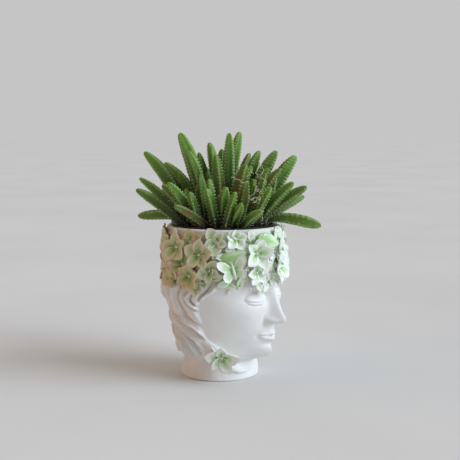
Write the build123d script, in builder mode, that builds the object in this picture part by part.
# Head planter: a cast head with an open crown, a wreath of applied flower sprigs and a drain plug,
# holding a nursery pot with a clump of four-ribbed succulent stems.
# Millimetres, +Z up, the face looks along -Y, origin on the table under the middle of the foot.
import os
from math import asin, cos, radians, sin, sqrt

from build123d import *

# Overall sizes
rim_height = 145.0
chin_level = 19.0
foot_radius = 38.0
foot_edge = 1.5
neck_radius = 32.0
neck_top = 24.0
foot_flare = foot_radius - neck_radius
flare_shares = (0.72, 0.36)

# The face is set out in thirds: chin to nose base, nose base to brow, brow to hairline
face_third = (rim_height - chin_level) / 3.5
nose_level = chin_level + face_third
brow_level = chin_level + 2 * face_third
eye_level = (chin_level + rim_height) / 2
mouth_level = nose_level - face_third / 3
cheek_level = (nose_level + eye_level) / 2
hairline_level = chin_level + 3 * face_third

# Plan sections of the head: height, half width, depth to the front, depth to the back,
# hairline angle from the front, relief of the hair locks, how far the cheeks draw in
head_rows = [
    (chin_level - 2, 29.0, 36.0, 26.0, 56, 0.0, 0.5),
    (chin_level + 1, 33.0, 46.0, 28.0, 56, 0.4, 3.0),
    (chin_level + 5, 35.5, 52.0, 29.0, 58, 0.8, 5.0),
    (chin_level + 11, 39.0, 55.0, 30.5, 63, 1.4, 5.5),
    (mouth_level, 46.0, 56.5, 36.5, 72, 2.4, 4.5),
    (nose_level, 50.0, 58.0, 37.5, 76, 2.6, 2.5),
    (cheek_level, 53.5, 59.5, 41.0, 75, 2.6, 1.0),
    (eye_level, 56.0, 60.0, 48.5, 70, 2.0, 0.5),
    (brow_level, 56.5, 61.5, 51.5, 64, 0.0, 0.0),
    (brow_level + 14, 57.0, 63.5, 51.5, 60, 0.0, 0.0),
    (hairline_level - 7, 56.5, 64.0, 51.0, 60, 0.0, 0.0),
    (rim_height - 10, 55.5, 62.5, 49.5, 60, 0.0, 0.0),
    (rim_height, 54.0, 60.0, 48.0, 60, 0.0, 0.0),
]
lock_count = 18
lock_sides = 10
face_steps = 4

# Face: half sizes of its rounded bodies and where they stand on the head
eye_angle = 21.0
eye_hollow_sizes = (14.0, 9.5, 7.0)
eye_hollow_lift = 2.5
eyelid_sizes = (10.5, 6.8, 6.6)
eyelid_sink = 6.0
upper_lip_sizes = (9.0, 3.0, 4.4)
upper_lip_spread = 4.5
upper_lip_rise = 2.2
upper_lip_sink = 1.2
lower_lip_sizes = (10.0, 3.6, 5.0)
lower_lip_drop = 3.4
lower_lip_sink = 1.4
chin_radius = 12.0
chin_rise = 9.0
chin_swell = 1.2
nose_root = 2.0
nose_wing_radius = 4.0
nose_wing_spread = 7.4
nose_wing_reach = 3.4

# Cavity: a tapered well for the nursery pot, a ledge under it and a narrow well in the neck
crown_shift = 6.0
mouth_radius = 49.5
ledge_outer_radius = 43.0
neck_well_radius = 25.0
neck_well_foot_radius = 21.0
floor_top = 11.0
floor_underside = 5.0
recess_radius = 28.0
drain_radius = 6.0
rim_edge = 1.2

# Nursery pot and its growing medium
nursery_height = 80.0
nursery_stand_up = 1.0
nursery_rim_radius = 47.0
nursery_rim_depth = 8.0
nursery_shoulder_radius = 44.0
nursery_base_radius = 34.0
nursery_wall = 1.2
nursery_drain_radius = 3.0
nursery_drain_count = 8
nursery_drain_ring = 22.0
medium_headspace = 4.0
medium_clearance = 0.2
ledge_level = rim_height + nursery_stand_up - nursery_height
medium_top = rim_height + nursery_stand_up - medium_headspace

# Drain plug
plug_clearance = 0.05
plug_flange_radius = 9.5
plug_flange_thickness = 2.0
plug_stand_up = 2.0
plug_nose_taper = 1.0

# Flower sprigs, each luted to the head by a short root
petal_count = 5
petal_outline = [(0, 0), (0.5, -0.33), (0.85, -0.24), (1, 0), (0.85, 0.24), (0.5, 0.33)]
petal_thickness = 1.2
petal_rise = 2.4
root_radius = 2.6
slip_line = 0.05
seat_gap = 0.9
over_stand = 4.0
back_flower_count = 17
back_flower_start = 108.0
back_flower_pitch = 13.0
back_flower_low = 43.0
back_flower_high = 14.0
back_flower_radius = 10.0
back_flower_spin = 31.0
flower_eye_radius = 1.9
flower_eye_height = 1.2
flower_eye_taper = 30.0
leaf_outline = [
    (-0.5, 0),
    (-0.25, -0.42),
    (0, -0.5),
    (0.28, -0.36),
    (0.5, 0),
    (0.28, 0.36),
    (0, 0.5),
    (-0.25, 0.42),
]
leaf_thickness = 1.8
leaf_taper = 40.0
small_leaf_length = 12.0
small_leaf_width = 6.0
wing_outline = [
    (0, 0.12),
    (0.45, 0.72),
    (0.95, 0.85),
    (1, 0.45),
    (0.62, 0.06),
    (0.8, -0.3),
    (0.58, -0.68),
    (0.25, -0.55),
    (0, -0.12),
]
wing_slope = 0.3
butterfly_span = 25.0
butterfly_body_radius = 1.3
butterfly_body_share = 0.6
butterfly_stand = 3.0
butterfly_angle = 48.5
butterfly_drop = 36.0
butterfly_spin = 15.0
neck_flower_radius = 12.5
neck_flower_angle = 55.0
neck_flower_level = 27.0
neck_flower_reach = 48.0
neck_flower_tilt = 20.0
neck_flower_spin = 20.0
neck_root_depth = 8.0
neck_root_clearance = 0.1

# Stems
stem_rib_count = 4
stem_valley_share = 0.78
stem_bed_radius = 39.0
golden_angle = 137.508
spiral_start = -32.0
stem_lean = 0.32
stem_arch = 0.62
low_stem_rise = 40.0
low_stem_arch = 31.0
grown_girth = 10.5


def row_at(level):
    """Half width, front and back of the head at a height, along straight lines between rows."""
    for low, high in zip(head_rows, head_rows[1:]):
        if level <= high[0]:
            share = (level - low[0]) / (high[0] - low[0])
            return [a + share * (b - a) for a, b in zip(low[1:4], high[1:4])]
    return list(head_rows[-1][1:4])


def plan_point(row, angle, relief=0.0):
    """Point of a plan section at an angle from the front, positive towards the head's left."""
    half_width, front, back = row
    depth = front if cos(radians(angle)) >= 0 else back
    return (
        (half_width + relief) * sin(radians(angle)),
        -(depth + relief) * cos(radians(angle)),
    )


def seat_plane(angle, level):
    """Plane on the head, its Z pointing out; angle runs from the front to the head's right."""
    step = 2.0
    x, y = plan_point(row_at(level), -angle)
    ahead = plan_point(row_at(level), -angle - step)
    behind = plan_point(row_at(level), -angle + step)
    above = plan_point(row_at(level + step), -angle)
    below = plan_point(row_at(level - step), -angle)
    along = Vector(behind[0] - ahead[0], behind[1] - ahead[1], 0).normalized()
    rise = Vector(above[0] - below[0], above[1] - below[1], 2 * step).normalized()
    return Plane((x, y, level), x_dir=along, z_dir=along.cross(rise))


def sprig_seat(angle, drop, spin):
    """Place of a sprig on the head, a thin line of slip above it, turned by its spin."""
    seat = seat_plane(angle, rim_height - drop).offset(slip_line)
    return seat.location * Rotation(0, 0, spin)


def ellipsoid(x_radius, y_radius, z_radius):
    """Rounded body with three different half sizes, about the origin."""
    with BuildPart() as body:
        Sphere(1)
        scale(by=(x_radius, y_radius, z_radius))
    return body.part


def hair_lock(stations):
    """Tapering lock through stations of a seat plane and a radius, half sunk in what it lies on."""
    with BuildPart() as lock:
        with BuildLine():
            spine = Spline(*[seat.origin for seat, radius in stations])
        for seat, radius in stations:
            run = spine.tangent_at(spine.param_at_point(seat.origin))
            with BuildSketch(Plane(seat.origin, x_dir=seat.z_dir, z_dir=run)):
                RegularPolygon(radius, lock_sides)
        loft(ruled=True)
    return lock.part


def upright_plane(angle, level, reach, tilt=0.0):
    """Plane facing out from the axis of the foot, at a reach from it, tilted to look down."""
    out = Vector(-sin(radians(angle)), -cos(radians(angle)), 0)
    facing = out * cos(radians(tilt)) - Vector(0, 0, sin(radians(tilt)))
    return Plane(
        out * reach + Vector(0, 0, level), x_dir=out.cross(Vector(0, 0, -1)), z_dir=facing
    )


os.makedirs("parts", exist_ok=True)


def finish(part, name):
    """Label a finished piece and write it out."""
    part.label = name
    export_step(part, f"parts/{name}.step")


# Long locks of hair: angle, level and radius along each. On the head's right they sweep down to
# one bunch at the neck, on its left they sweep back to the nape
lock_rows = [
    [(64, 85, 2.5), (70, 72, 4.5), (74, 56, 5.5), (72, 42, 5.5), (65, 30, 5.0), (57, 22, 4.0)],
    [(86, 82, 2.5), (91, 68, 5.0), (93, 52, 6.0), (87, 37, 6.0), (74, 27, 5.0), (60, 20, 4.0)],
    [(108, 80, 2.5), (114, 64, 5.0), (115, 46, 6.0), (104, 32, 6.0), (84, 23, 5.0)],
    [(-64, 85, 2.5), (-70, 72, 4.5), (-77, 56, 5.5), (-88, 42, 5.5), (-108, 30, 4.5)],
    [(-86, 82, 2.5), (-93, 66, 5.0), (-104, 50, 6.0), (-122, 36, 5.5), (-144, 27, 4.0)],
]
locks = [
    hair_lock([(seat_plane(angle, level), radius) for angle, level, radius in stations])
    for stations in lock_rows
]

# The loose end of the bunch, which curls forward round the neck: angle, level, radius
tail_reach = neck_radius + 2.0
tail_rows = [(52, 18, 4.5), (40, 14, 4.0), (27, 11, 3.2), (14, 9.5, 1.6)]
locks.append(
    hair_lock([(upright_plane(angle, level, tail_reach), r) for angle, level, r in tail_rows])
)

# Rounded bodies of the face
eye_hollow = ellipsoid(*eye_hollow_sizes)
eyelid = ellipsoid(*eyelid_sizes)
upper_lip = ellipsoid(*upper_lip_sizes)
lower_lip = ellipsoid(*lower_lip_sizes)

# Head: lofted plan sections, scalloped into locks behind the hairline, a plain arc for the face
with BuildPart() as head_form:
    for level, half_width, front, back, hairline, relief, draw_in in head_rows:
        row = (half_width, front, back)
        lock_step = (360 - 2 * hairline) / lock_count
        with BuildSketch(Plane.XY.offset(level)):
            with BuildLine():
                shares = [step / face_steps for step in range(-face_steps, face_steps + 1)]
                Spline(
                    *[
                        plan_point(row, share * hairline, -4 * draw_in * abs(share) * (1 - abs(share)))
                        for share in shares
                    ]
                )
                for index in range(lock_count):
                    start = hairline + index * lock_step
                    ThreePointArc(
                        plan_point(row, start),
                        plan_point(row, start + lock_step / 2, relief),
                        plan_point(row, start + lock_step),
                    )
            make_face()
    loft(ruled=True)

    # Neck with its flared foot
    with BuildSketch(Plane.XZ):
        with BuildLine():
            Polyline(
                (0, neck_top),
                (0, 0),
                (foot_radius - foot_edge, 0),
                (foot_radius, foot_edge),
                (neck_radius + flare_shares[0] * foot_flare, neck_top / 3),
                (neck_radius + flare_shares[1] * foot_flare, 2 * neck_top / 3),
                (neck_radius, neck_top),
                (0, neck_top),
            )
        make_face()
    revolve(axis=Axis.Z)

    # Nose: a rounded ridge that widens and rises down to its tip, with a wing each side
    for level, half_width, reach in [
        (eye_level + 6, 5.0, 0.5),
        (eye_level - 1, 5.5, 3.0),
        (cheek_level, 6.5, 7.5),
        (nose_level + 8, 8.0, 11.5),
        (nose_level + 4, 9.0, 13.5),
        (nose_level + 1, 8.5, 12.5),
        (nose_level - 1.5, 7.0, 7.0),
    ]:
        root_line = nose_root - row_at(level)[1]
        with BuildSketch(Plane.XY.offset(level)):
            with BuildLine():
                ridge = EllipticalCenterArc(
                    (0, root_line), half_width, reach + nose_root, start_angle=180, arc_size=180
                )
                Polyline(
                    ridge @ 1,
                    (half_width, root_line + 2 * nose_root),
                    (-half_width, root_line + 2 * nose_root),
                    ridge @ 0,
                )
            make_face()
    loft(ruled=True)
    for side in (-1, 1):
        wing_front = -row_at(nose_level)[1] - nose_wing_reach
        with Locations((side * nose_wing_spread, wing_front, nose_level + nose_wing_reach)):
            Sphere(nose_wing_radius)

    # Eyes: a hollow under the brow, then a lowered lid with its lash line
    for side in (-1, 1):
        eye_seat = seat_plane(side * eye_angle, eye_level)
        with Locations(eye_seat.offset(eye_hollow_lift).location):
            add(eye_hollow, mode=Mode.SUBTRACT)
        with Locations(eye_seat.offset(-eyelid_sink).location):
            add(eyelid)

    # Mouth and chin
    mouth_seat = seat_plane(0, mouth_level)
    for side in (-1, 1):
        with Locations(
            mouth_seat.location * Pos(side * upper_lip_spread, upper_lip_rise, -upper_lip_sink)
        ):
            add(upper_lip)
    with Locations(mouth_seat.location * Pos(0, -lower_lip_drop, -lower_lip_sink)):
        add(lower_lip)
    with Locations(seat_plane(0, chin_level + chin_rise).offset(chin_swell - chin_radius).location):
        Sphere(chin_radius)

    for lock in locks:
        add(lock)

# Wreath flowers: angle from the front to the head's right, drop below the rim, radius, spin and
# stand off the head, so that neighbours lie over each other
flower_rows = [
    (-2, 22, 10.5, 10, 0),
    (1.5, 37, 11.0, 40, over_stand),
    (28.5, 21.5, 11.0, 0, over_stand),
    (27, 39, 9.5, 30, 0),
    (46, 8, 7.5, 20, 0),
    (63, 10, 9.5, 50, 0),
    (76, 22, 10.5, 15, over_stand),
    (68.5, 37, 9.0, 60, 0),
    (83, 11.5, 9.5, 35, 0),
    (84, 41.5, 10.0, 5, over_stand),
    (79.5, 51, 7.0, 55, 0),
    (98, 16.5, 10.5, 25, over_stand),
    (93.5, 31.5, 10.0, 0, 0),
    (117, 26.5, 10.0, 45, 0),
    (338, 30, 9.0, 20, 0),
]
for number in range(back_flower_count):
    low = number % 2 == 0
    flower_rows.append(
        (
            back_flower_start + number * back_flower_pitch,
            back_flower_low if low else back_flower_high,
            back_flower_radius + number % 3 / 2,
            number * back_flower_spin,
            over_stand if number % 4 == 1 else 0,
        )
    )
flower_seats = [sprig_seat(*row[:2], row[3]) for row in flower_rows]

# Two broad leaves between the flowers: angle, drop below the rim, length, width, spin
leaf_rows = [
    (50.5, 25, 24.0, 11.0, 25),
    (15, 11, 18.0, 9.0, -20),
]
leaf_seats = [sprig_seat(angle, drop, spin) for angle, drop, length, width, spin in leaf_rows]

# Small leaves in the gaps: angle, drop below the rim, spin
small_leaf_rows = [
    (9, 52, -10),
    (17, 25, 80),
    (51, 51, 10),
    (147, 30, 0),
    (173, 27, 90),
    (199, 30, 0),
    (225, 27, 90),
    (251, 30, 0),
    (277, 27, 90),
    (318, 24, 90),
    (323, 10, 0),
    (334, 51, 15),
    (341, 9, 10),
    (350, 51, 0),
]
small_leaf_seats = [sprig_seat(*row) for row in small_leaf_rows]
butterfly_seat = sprig_seat(butterfly_angle, butterfly_drop, butterfly_spin)
neck_flower_seat = upright_plane(
    neck_flower_angle, neck_flower_level, neck_flower_reach, neck_flower_tilt
).location * Rotation(0, 0, neck_flower_spin)

# Shell: the head with its cavity, the hollow under the foot and the drain hole
with BuildPart() as head_shell:
    add(head_form.part)
    with BuildSketch(Plane.XZ.offset(crown_shift)):
        with BuildLine():
            Polyline(
                (0, rim_height),
                (0, floor_top),
                (neck_well_foot_radius, floor_top),
                (neck_well_radius, ledge_level),
                (ledge_outer_radius, ledge_level),
                (mouth_radius, rim_height - rim_edge),
                (mouth_radius + rim_edge, rim_height),
                (0, rim_height),
            )
        make_face()
    revolve(axis=Axis((0, -crown_shift, 0), (0, 0, 1)), mode=Mode.SUBTRACT)
    with Locations((0, 0, floor_underside / 2)):
        Cylinder(recess_radius, floor_underside, mode=Mode.SUBTRACT)
    with Locations((0, 0, floor_top / 2)):
        Cylinder(drain_radius, floor_top, mode=Mode.SUBTRACT)
    with BuildSketch(Plane(neck_flower_seat)):
        RegularPolygon(root_radius + neck_root_clearance, petal_count)
    extrude(amount=-neck_root_depth, mode=Mode.SUBTRACT)
finish(head_shell.part, "head_shell")


def flower_mould(radius, stand, depth=0.0):
    """Five raised petals round a faceted eye, on a root that goes depth below the seat at Z = 0."""
    lift = asin(petal_rise / radius)
    base = stand + seat_gap
    petal_plane = Plane(
        (0, 0, base), x_dir=(cos(lift), 0, sin(lift)), z_dir=(-sin(lift), 0, cos(lift))
    )
    with BuildPart() as mould:
        with BuildSketch(petal_plane):
            with BuildLine():
                Polyline(*[(radius * x, radius * y) for x, y in petal_outline], close=True)
            make_face()
        petal = extrude(amount=petal_thickness)
        for turn in range(1, petal_count):
            add(petal.rotate(Axis.Z, turn * 360 / petal_count))
        with BuildSketch(Plane.XY.offset(-depth)):
            RegularPolygon(root_radius, petal_count)
        extrude(amount=depth + base + petal_thickness)
        with BuildSketch(Plane.XY.offset(base + petal_thickness)):
            RegularPolygon(flower_eye_radius, petal_count)
        extrude(amount=flower_eye_height, taper=flower_eye_taper)
    return mould.part


def leaf_mould(length, width):
    """Pointed leaf along X with a roofed back, on a root; seat at Z = 0."""
    with BuildPart() as mould:
        with BuildSketch(Plane.XY.offset(seat_gap)):
            with BuildLine():
                Polyline(*[(length * x, width * y) for x, y in leaf_outline], close=True)
            make_face()
        extrude(amount=leaf_thickness, taper=leaf_taper)
        with BuildSketch():
            RegularPolygon(root_radius, petal_count)
        extrude(amount=seat_gap + leaf_thickness / 2)
    return mould.part


def butterfly_mould(span):
    """Two pairs of raised wings on a slim body, on a root; seat at Z = 0, head towards +Y."""
    wing = span / 2
    base = butterfly_stand + seat_gap
    wing_plane = Plane((0, 0, base), x_dir=(1, 0, wing_slope), z_dir=(-wing_slope, 0, 1))
    with BuildPart() as mould:
        with BuildSketch(wing_plane):
            with BuildLine():
                Polyline(*[(wing * x, wing * y) for x, y in wing_outline], close=True)
            make_face()
        extrude(amount=petal_thickness)
        mirror(about=Plane.YZ)
        with BuildSketch(Plane.XZ.offset(-butterfly_body_share * wing)):
            with Locations((0, base + butterfly_body_radius)):
                RegularPolygon(butterfly_body_radius, petal_count + 1)
        extrude(amount=2 * butterfly_body_share * wing)
        with BuildSketch():
            RegularPolygon(root_radius, petal_count)
        extrude(amount=base + butterfly_body_radius)
    return mould.part


def place(mould, seat, name):
    """Set a sprig on its seat and write it out."""
    with BuildPart() as sprig:
        with Locations(seat):
            add(mould)
    finish(sprig.part, name)


flower_moulds = {kind: flower_mould(*kind) for kind in {(row[2], row[4]) for row in flower_rows}}
for number, (row, seat) in enumerate(zip(flower_rows, flower_seats), 1):
    place(flower_moulds[row[2], row[4]], seat, f"wreath_flower_{number:02d}")
for number, (row, seat) in enumerate(zip(leaf_rows, leaf_seats), 1):
    place(leaf_mould(row[2], row[3]), seat, f"wreath_leaf_{number:02d}")
small_leaf = leaf_mould(small_leaf_length, small_leaf_width)
with BuildPart() as wreath_foliage:
    with Locations(*small_leaf_seats):
        add(small_leaf)
finish(wreath_foliage.part, "wreath_foliage")
place(butterfly_mould(butterfly_span), butterfly_seat, "butterfly")
place(flower_mould(neck_flower_radius, 0, neck_root_depth), neck_flower_seat, "neck_flower")

# Drain plug: a tapered rubber bung with a pull flange under the floor
with BuildPart() as drain_plug:
    with BuildSketch(Plane.XZ):
        with BuildLine():
            Polyline(
                (0, floor_top + plug_stand_up),
                (0, floor_underside - plug_flange_thickness),
                (plug_flange_radius, floor_underside - plug_flange_thickness),
                (plug_flange_radius, floor_underside),
                (drain_radius - plug_clearance, floor_underside),
                (drain_radius - plug_clearance, floor_top),
                (drain_radius - plug_nose_taper, floor_top + plug_stand_up),
                (0, floor_top + plug_stand_up),
            )
        make_face()
    revolve(axis=Axis.Z)
finish(drain_plug.part, "drain_plug")

# Nursery pot: a thin tapered pot with a stepped rim, standing on the ledge
crown_axis = Axis((0, -crown_shift, 0), (0, 0, 1))
nursery_top = ledge_level + nursery_height
nursery_step = nursery_top - nursery_rim_depth
with BuildPart() as nursery_pot:
    with BuildSketch(Plane.XZ.offset(crown_shift)):
        with BuildLine():
            Polyline(
                (0, ledge_level),
                (nursery_base_radius, ledge_level),
                (nursery_shoulder_radius, nursery_step),
                (nursery_rim_radius, nursery_step),
                (nursery_rim_radius, nursery_top),
                (nursery_rim_radius - nursery_wall, nursery_top),
                (nursery_rim_radius - nursery_wall, nursery_step + nursery_wall),
                (nursery_shoulder_radius - nursery_wall, nursery_step + nursery_wall),
                (nursery_base_radius - nursery_wall, ledge_level + nursery_wall),
                (0, ledge_level + nursery_wall),
                (0, ledge_level),
            )
        make_face()
    revolve(axis=crown_axis)
    with Locations(Location((0, -crown_shift, ledge_level))):
        with PolarLocations(nursery_drain_ring, nursery_drain_count):
            Cylinder(nursery_drain_radius, 4 * nursery_wall, mode=Mode.SUBTRACT)
finish(nursery_pot.part, "nursery_pot")

# Growing medium: fills the pot to just under its stepped rim
medium_foot = ledge_level + nursery_wall
medium_foot_radius = nursery_base_radius - nursery_wall - medium_clearance
medium_step = nursery_step + nursery_wall
medium_step_radius = nursery_shoulder_radius - nursery_wall - medium_clearance
medium_top_radius = nursery_rim_radius - nursery_wall - medium_clearance
with BuildPart() as growing_medium:
    with BuildSketch(Plane.XZ.offset(crown_shift)):
        with BuildLine():
            Polyline(
                (0, medium_foot),
                (medium_foot_radius, medium_foot),
                (medium_step_radius, medium_step),
                (medium_top_radius, medium_step),
                (medium_top_radius, medium_top),
                (0, medium_top),
                (0, medium_foot),
            )
        make_face()
    revolve(axis=crown_axis)
finish(growing_medium.part, "growing_medium")


# Stems: bearing of the tip from the front to the head's right, reach from the crown's axis,
# height of the tip over the rim, girth. Their roots stand on a spiral, in this order from the middle out
stem_rows = [
    (17, 7, 91, 11.0),
    (108, 16, 78, 9.0),
    (-71, 19, 92, 11.0),
    (-15, 27, 58, 8.0),
    (136, 25, 72, 7.5),
    (-56, 37, 73, 10.0),
    (76, 26, 70, 10.0),
    (226, 12, 75, 9.0),
    (-16, 43, 57, 8.0),
    (135, 43, 91, 14.0),
    (-87, 43, 70, 9.0),
    (19, 32, 61, 11.0),
    (186, 48, 70, 11.0),
    (-43, 51, 73, 13.5),
    (117, 39, 74, 8.0),
    (216, 41, 81, 10.0),
    (-9, 57, 57, 9.0),
    (150, 44, 52, 9.0),
    (-90, 65, 60, 10.0),
    (56, 48, 40, 9.5),
    (182, 72, 60, 11.0),
    (-18, 79, 39, 11.0),
    (124, 63, 41, 11.0),
    (-110, 49, 77, 10.0),
    (29, 43, 45, 8.0),
    (173, 96, 11, 10.0),
    (-59, 89, 25, 10.0),
    (101, 66, 23, 8.0),
    (219, 61, 55, 9.0),
    (-5, 71, 44, 10.0),
    (153, 77, 72, 12.5),
    (-86, 89, 20, 10.0),
    (42, 58, 25, 8.0),
    (190, 94, 30, 10.0),
    (-39, 69, 68, 13.5),
    (112, 64, 44, 10.0),
    (232, 78, 35, 10.0),
    (14, 61, 40, 8.0),
    (163, 86, 45, 9.0),
    (-71, 77, 50, 11.0),
    (78, 48, 39, 8.0),
    (208, 81, 40, 11.0),
    (-26, 92, 5, 12.0),
    (138, 84, 36, 10.0),
    (-104, 82, 30, 10.0),
    (28, 67, 19, 8.0),
]
# Along a stem: share of its length, share of its girth
stem_sections = [(0.0, 0.6), (0.2, 0.88), (0.6, 1.06), (0.85, 0.92), (0.95, 0.62), (1.0, 0.25)]


def about_crown(bearing, reach, level):
    """Point at a bearing and reach from the crown's axis."""
    return Vector(
        -reach * sin(radians(bearing)), -crown_shift - reach * cos(radians(bearing)), level
    )


def stem_body(number, bearing, reach, tip_height, girth):
    """Four-ribbed finger stem that stands on the medium and arches out to its tip."""
    root_reach = stem_bed_radius * sqrt((number + 0.5) / len(stem_rows))
    root = about_crown(number * golden_angle + spiral_start, root_reach, medium_top)
    tip = about_crown(bearing, reach, rim_height + tip_height)
    rise = tip.Z - medium_top
    low = max(0.0, 1 - rise / low_stem_rise)
    bend = root + (tip - root) * stem_lean
    bend.Z = medium_top + stem_arch * rise + low_stem_arch * low**1.5
    with BuildPart() as stem:
        with BuildLine():
            spine = Bezier(root, bend, tip)
        side = (spine % 0.5).cross(Vector(0, 0, 1))
        for share, width in stem_sections:
            run = Vector(0, 0, 1) if share == 0 else spine.tangent_at(share)
            with BuildSketch(Plane(spine @ share, x_dir=side, z_dir=run)):
                with BuildLine():
                    rib = width * girth / 2
                    turn = 180 / stem_rib_count
                    Polyline(
                        *[
                            Vector(rib * (1 if k % 2 == 0 else stem_valley_share), 0).rotate(
                                Axis.Z, 45 + k * turn
                            )
                            for k in range(2 * stem_rib_count)
                        ],
                        close=True,
                    )
                make_face()
        loft(ruled=True)
    return stem.part


young_inner = []
young_outer = []
for number, row in enumerate(stem_rows):
    body = stem_body(number, *row)
    if row[3] >= grown_girth:
        finish(body, f"stem_{number + 1:02d}")
    elif number < len(stem_rows) / 2:
        young_inner.append(body)
    else:
        young_outer.append(body)

# Young stems: thinner ones, the inner half of the spiral and the outer half
with BuildPart() as young_stems_inner:
    for body in young_inner:
        add(body)
finish(young_stems_inner.part, "young_stems_inner")
with BuildPart() as young_stems_outer:
    for body in young_outer:
        add(body)
finish(young_stems_outer.part, "young_stems_outer")
